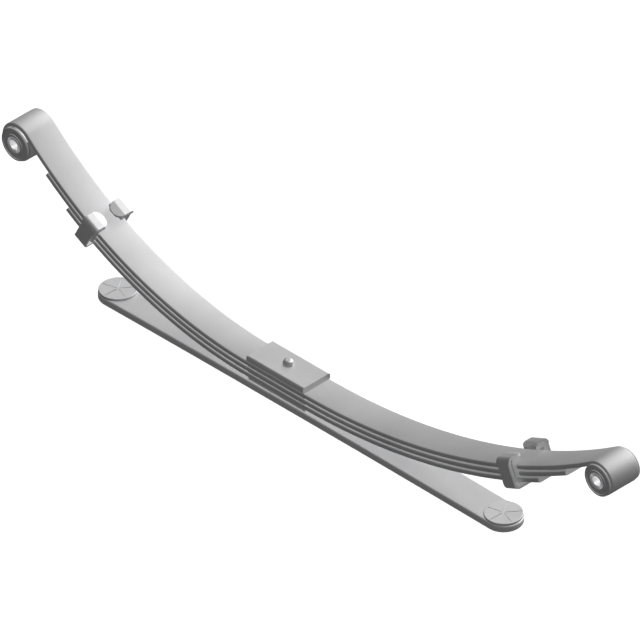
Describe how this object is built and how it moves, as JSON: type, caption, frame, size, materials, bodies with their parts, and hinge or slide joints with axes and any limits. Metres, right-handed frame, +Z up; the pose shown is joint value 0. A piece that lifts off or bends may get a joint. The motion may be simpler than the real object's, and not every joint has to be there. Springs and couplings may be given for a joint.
{
  "type": "leaf spring",
  "caption": "Light-truck rear leaf spring: curved leaves with bushed eyes, lined rebound clips and a straight overload leaf under the stack.",
  "frame": {"origin": "on the centre bolt's axis, at the top face of the seat plate, where the bolt's locating head begins", "axes": "+X along the spring from the front (short) half to the rear (long) half, +Y across the leaves, +Z up towards the axle seat"},
  "size_m": [1.4357, 0.0932, 0.2769],
  "materials": {
    "spring_steel": "satin light grey",
    "clip_steel": "satin light grey",
    "plate_steel": "satin light grey",
    "fastener_steel": "zinc plated",
    "sleeve_steel": "plain machined",
    "bush_rubber": "moulded",
    "pad_plastic": "moulded",
    "liner_plastic": "moulded"
  },
  "bodies": {
    "leaf_stack": {"main_leaf": "spring_steel", "second_leaf": "spring_steel", "third_leaf": "spring_steel", "helper_leaf": "spring_steel", "seat_plate": "plate_steel", "main_to_second_spacer": "plate_steel", "second_to_third_spacer": "plate_steel", "third_to_helper_spacer": "plate_steel", "centre_bolt": "fastener_steel", "centre_bolt_nut": "fastener_steel", "front_helper_pad": "pad_plastic", "rear_helper_pad": "pad_plastic"},
    "front_clip": {"front_clip_strap": "clip_steel", "front_clip_left_liner": "liner_plastic", "front_clip_right_liner": "liner_plastic", "front_clip_rivet": "fastener_steel", "front_clip_spacer": "fastener_steel", "third_leaf_front_tip_insert": "liner_plastic"},
    "front_eye": {"front_bush_outer_sleeve": "sleeve_steel", "front_bush_rubber": "bush_rubber", "second_leaf_front_tip_insert": "liner_plastic"},
    "front_bush_inner": {"front_bush_inner_sleeve": "sleeve_steel"},
    "rear_clip": {"rear_clip_strap": "clip_steel", "rear_clip_left_liner": "liner_plastic", "rear_clip_right_liner": "liner_plastic", "rear_clip_rivet": "fastener_steel", "rear_clip_spacer": "fastener_steel", "third_leaf_rear_tip_insert": "liner_plastic"},
    "rear_eye": {"rear_bush_outer_sleeve": "sleeve_steel", "rear_bush_rubber": "bush_rubber", "second_leaf_rear_tip_insert": "liner_plastic"},
    "rear_bush_inner": {"rear_bush_inner_sleeve": "sleeve_steel"}
  },
  "joints": [
    {"name": "front_half_flex", "type": "hinge", "parent": "leaf_stack", "child": "front_clip", "pos_m": [-0.25855, 0, -0.00272], "axis": [0, -1, 0], "range_deg": [0, 13], "stiffness_Nm_per_rad": 2400, "deforming": ["main_leaf", "second_leaf", "third_leaf"]},
    {"name": "front_end_flex", "type": "hinge", "parent": "front_clip", "child": "front_eye", "pos_m": [-0.51954, 0, 0.1196], "axis": [0, -1, 0], "range_deg": [0, 6.5], "stiffness_Nm_per_rad": 1200, "deforming": ["main_leaf", "second_leaf", "second_leaf_front_tip_insert", "third_leaf_front_tip_insert"]},
    {"name": "front_bush_twist", "type": "hinge", "parent": "front_eye", "child": "front_bush_inner", "pos_m": [-0.6106, 0, 0.1624], "axis": [0, 1, 0], "range_deg": [-25, 25], "stiffness_Nm_per_rad": 80, "deforming": ["front_bush_rubber"]},
    {"name": "rear_half_flex", "type": "hinge", "parent": "leaf_stack", "child": "rear_clip", "pos_m": [0.31885, 0, -0.00115], "axis": [0, 1, 0], "range_deg": [0, 10.4], "stiffness_Nm_per_rad": 2400, "deforming": ["main_leaf", "second_leaf", "third_leaf"]},
    {"name": "rear_end_flex", "type": "hinge", "parent": "rear_clip", "child": "rear_eye", "pos_m": [0.65783, 0, 0.12204], "axis": [0, 1, 0], "range_deg": [0, 4.49], "stiffness_Nm_per_rad": 1200, "deforming": ["main_leaf", "second_leaf", "second_leaf_rear_tip_insert", "third_leaf_rear_tip_insert"]},
    {"name": "rear_bush_twist", "type": "hinge", "parent": "rear_eye", "child": "rear_bush_inner", "pos_m": [0.7604, 0, 0.1624], "axis": [0, 1, 0], "range_deg": [-25, 25], "stiffness_Nm_per_rad": 80, "deforming": ["rear_bush_rubber"]}
  ],
  "couplings": [
    {"joint": "front_end_flex", "follows": "front_half_flex", "ratio": 0.4954},
    {"joint": "rear_end_flex", "follows": "rear_half_flex", "ratio": 0.4255}
  ]
}
